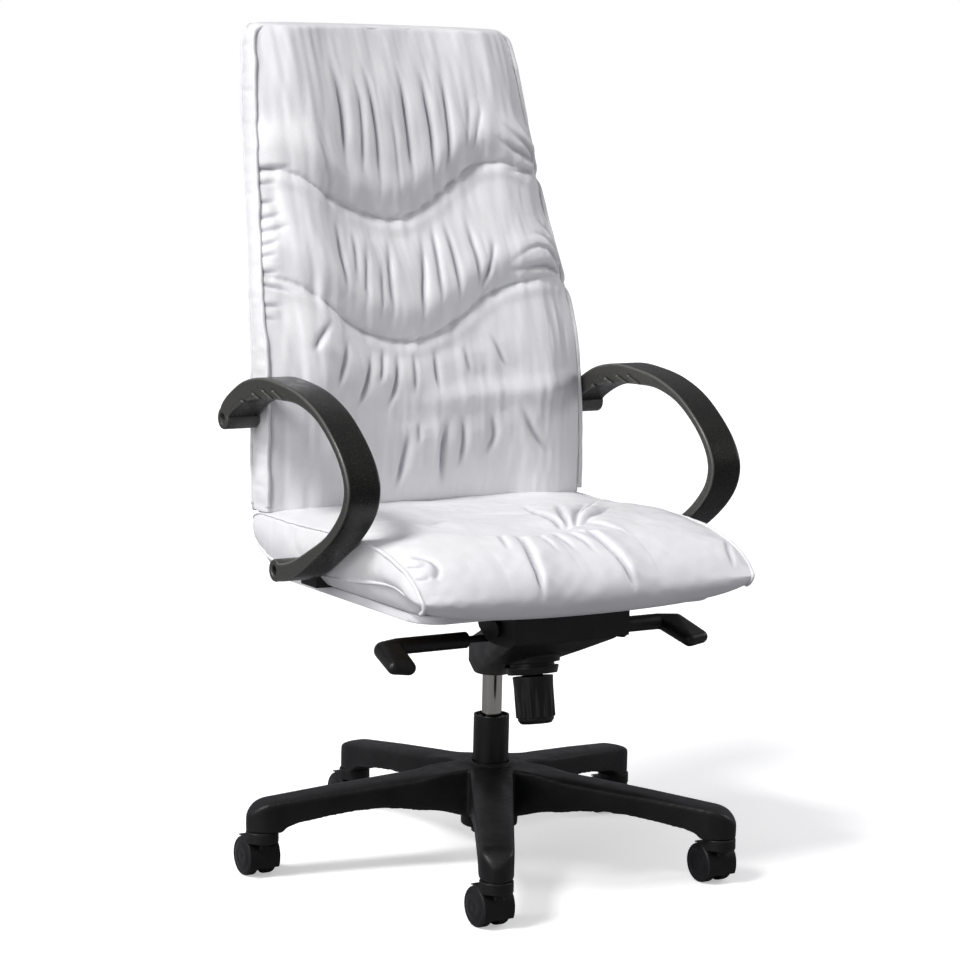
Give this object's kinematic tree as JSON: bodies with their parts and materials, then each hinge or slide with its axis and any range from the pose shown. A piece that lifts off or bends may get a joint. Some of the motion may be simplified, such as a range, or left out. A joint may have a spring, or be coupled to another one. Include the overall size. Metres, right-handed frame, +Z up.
{
  "type": "executive swivel chair",
  "caption": "High-back swivel chair: gathered white upholstery, looped plastic arms, gas-lift column, front-pivot tilt mechanism and five-star base on twin-wheel casters.",
  "frame": {"origin": "on the floor under the column and swivel axis", "axes": "+Z up along the column; -Y towards the front of the chair; +X towards the left arm of a person sitting in it"},
  "size_m": [0.6713, 0.6968, 1.165],
  "materials": {
    "white_leather": "soft satin, gathered",
    "charcoal_plastic": "fine speckled texture, satin",
    "black_nylon": "fine moulded texture",
    "black_acetal": "smooth",
    "black_steel": "satin powder coat",
    "black_rubber": "matt",
    "plated_steel": "zinc plated",
    "chrome": "polished",
    "plywood": "plain beech plywood"
  },
  "bodies": {
    "base": {"base_star": "black_nylon", "column_tube": "black_steel", "guide_bush": "black_acetal", "thrust_bearing": "plated_steel", "bump_stop": "black_rubber", "caster_stems": "plated_steel"},
    "rod": {"piston_rod": "chrome", "rod_clip": "plated_steel"},
    "lift": {"gas_cylinder": "chrome", "mechanism_housing": "black_steel", "spring_cup": "black_nylon", "pivot_bushes": "black_acetal", "tension_spring": "plated_steel"},
    "valve": {"valve_button": "plated_steel"},
    "height_lever": {"height_lever_rod": "black_steel", "height_lever_handle": "black_nylon"},
    "lock_lever": {"lock_lever_rod": "black_steel", "lock_lever_handle": "black_nylon"},
    "knob": {"tension_bolt": "plated_steel", "tension_knob": "black_nylon"},
    "nut": {"spring_nut": "plated_steel"},
    "seat": {"seat_plate": "black_steel", "pivot_shaft": "plated_steel", "seat_bolts": "plated_steel", "seat_pan": "plywood", "seat_cushion": "white_leather", "back_shell": "plywood", "back_cushion": "white_leather", "back_cover": "white_leather", "arm_lugs": "plated_steel", "armrest_left": "charcoal_plastic", "armrest_right": "charcoal_plastic", "arm_screws": "plated_steel"},
    "caster_1": {"caster_hood_1": "black_nylon", "caster_axle_1": "plated_steel"},
    "wheel_l1": {"wheel_left_1": "black_nylon"},
    "wheel_r1": {"wheel_right_1": "black_nylon"},
    "caster_2": {"caster_hood_2": "black_nylon", "caster_axle_2": "plated_steel"},
    "wheel_l2": {"wheel_left_2": "black_nylon"},
    "wheel_r2": {"wheel_right_2": "black_nylon"},
    "caster_3": {"caster_hood_3": "black_nylon", "caster_axle_3": "plated_steel"},
    "wheel_l3": {"wheel_left_3": "black_nylon"},
    "wheel_r3": {"wheel_right_3": "black_nylon"},
    "caster_4": {"caster_hood_4": "black_nylon", "caster_axle_4": "plated_steel"},
    "wheel_l4": {"wheel_left_4": "black_nylon"},
    "wheel_r4": {"wheel_right_4": "black_nylon"},
    "caster_5": {"caster_hood_5": "black_nylon", "caster_axle_5": "plated_steel"},
    "wheel_l5": {"wheel_left_5": "black_nylon"},
    "wheel_r5": {"wheel_right_5": "black_nylon"}
  },
  "joints": [
    {"name": "seat_swivel", "type": "hinge", "parent": "base", "child": "rod", "pos_m": [0, 0, 0.2], "axis": [0, 0, 1], "continuous": true},
    {"name": "seat_lift", "type": "slide", "parent": "rod", "child": "lift", "axis": [0, 0, 1], "range_m": [-0.045, 0.055]},
    {"name": "seat_tilt", "type": "hinge", "parent": "lift", "child": "seat", "pos_m": [0, -0.156, 0.367], "axis": [-1, 0, 0], "range_deg": [0, 14], "stiffness_Nm_per_rad": 175, "springref_deg": -25.78, "deforming": ["tension_spring"]},
    {"name": "height_lever_lift", "type": "hinge", "parent": "lift", "child": "height_lever", "pos_m": [-0.1, -0.085, 0.34], "axis": [-1, 0, 0], "range_deg": [0, 4.5], "stiffness_Nm_per_rad": 1.2, "springref_deg": -14.32},
    {"name": "valve_press", "type": "slide", "parent": "lift", "child": "valve", "axis": [0, 0, -1], "range_m": [0, 0.0068]},
    {"name": "tilt_lock_turn", "type": "hinge", "parent": "lift", "child": "lock_lever", "pos_m": [0.1, -0.085, 0.34], "axis": [-1, 0, 0], "range_deg": [0, 20]},
    {"name": "tension_knob_turn", "type": "hinge", "parent": "lift", "child": "knob", "pos_m": [0, -0.1004, 0.3029], "axis": [0, 0.1857, 0.9826], "range_deg": [0, 1080]},
    {"name": "spring_nut_travel", "type": "slide", "parent": "lift", "child": "nut", "axis": [0, 0.1857, 0.9826], "range_m": [0, 0.006]},
    {"name": "caster_swivel_1", "type": "hinge", "parent": "base", "child": "caster_1", "pos_m": [-0.165, -0.28579, 0.05], "axis": [0, 0, 1], "continuous": true},
    {"name": "wheel_left_roll_1", "type": "hinge", "parent": "caster_1", "child": "wheel_l1", "pos_m": [-0.18, -0.26579, 0.0275], "axis": [1, 0, 0], "continuous": true},
    {"name": "wheel_right_roll_1", "type": "hinge", "parent": "caster_1", "child": "wheel_r1", "pos_m": [-0.15, -0.26579, 0.0275], "axis": [1, 0, 0], "continuous": true},
    {"name": "caster_swivel_2", "type": "hinge", "parent": "base", "child": "caster_2", "pos_m": [0.22081, -0.24524, 0.05], "axis": [0, 0, 1], "continuous": true},
    {"name": "wheel_left_roll_2", "type": "hinge", "parent": "caster_2", "child": "wheel_l2", "pos_m": [0.20581, -0.22524, 0.0275], "axis": [1, 0, 0], "continuous": true},
    {"name": "wheel_right_roll_2", "type": "hinge", "parent": "caster_2", "child": "wheel_r2", "pos_m": [0.23581, -0.22524, 0.0275], "axis": [1, 0, 0], "continuous": true},
    {"name": "caster_swivel_3", "type": "hinge", "parent": "base", "child": "caster_3", "pos_m": [0.30147, 0.13422, 0.05], "axis": [0, 0, 1], "continuous": true},
    {"name": "wheel_left_roll_3", "type": "hinge", "parent": "caster_3", "child": "wheel_l3", "pos_m": [0.28647, 0.15422, 0.0275], "axis": [1, 0, 0], "continuous": true},
    {"name": "wheel_right_roll_3", "type": "hinge", "parent": "caster_3", "child": "wheel_r3", "pos_m": [0.31647, 0.15422, 0.0275], "axis": [1, 0, 0], "continuous": true},
    {"name": "caster_swivel_4", "type": "hinge", "parent": "base", "child": "caster_4", "pos_m": [-0.03449, 0.32819, 0.05], "axis": [0, 0, 1], "continuous": true},
    {"name": "wheel_left_roll_4", "type": "hinge", "parent": "caster_4", "child": "wheel_l4", "pos_m": [-0.04949, 0.34819, 0.0275], "axis": [1, 0, 0], "continuous": true},
    {"name": "wheel_right_roll_4", "type": "hinge", "parent": "caster_4", "child": "wheel_r4", "pos_m": [-0.01949, 0.34819, 0.0275], "axis": [1, 0, 0], "continuous": true},
    {"name": "caster_swivel_5", "type": "hinge", "parent": "base", "child": "caster_5", "pos_m": [-0.32279, 0.06861, 0.05], "axis": [0, 0, 1], "continuous": true},
    {"name": "wheel_left_roll_5", "type": "hinge", "parent": "caster_5", "child": "wheel_l5", "pos_m": [-0.33779, 0.08861, 0.0275], "axis": [1, 0, 0], "continuous": true},
    {"name": "wheel_right_roll_5", "type": "hinge", "parent": "caster_5", "child": "wheel_r5", "pos_m": [-0.30779, 0.08861, 0.0275], "axis": [1, 0, 0], "continuous": true}
  ],
  "couplings": [
    {"joint": "valve_press", "follows": "height_lever_lift", "m_per_rad": 0.085},
    {"joint": "spring_nut_travel", "follows": "tension_knob_turn", "m_per_rad": 0.000313}
  ]
}
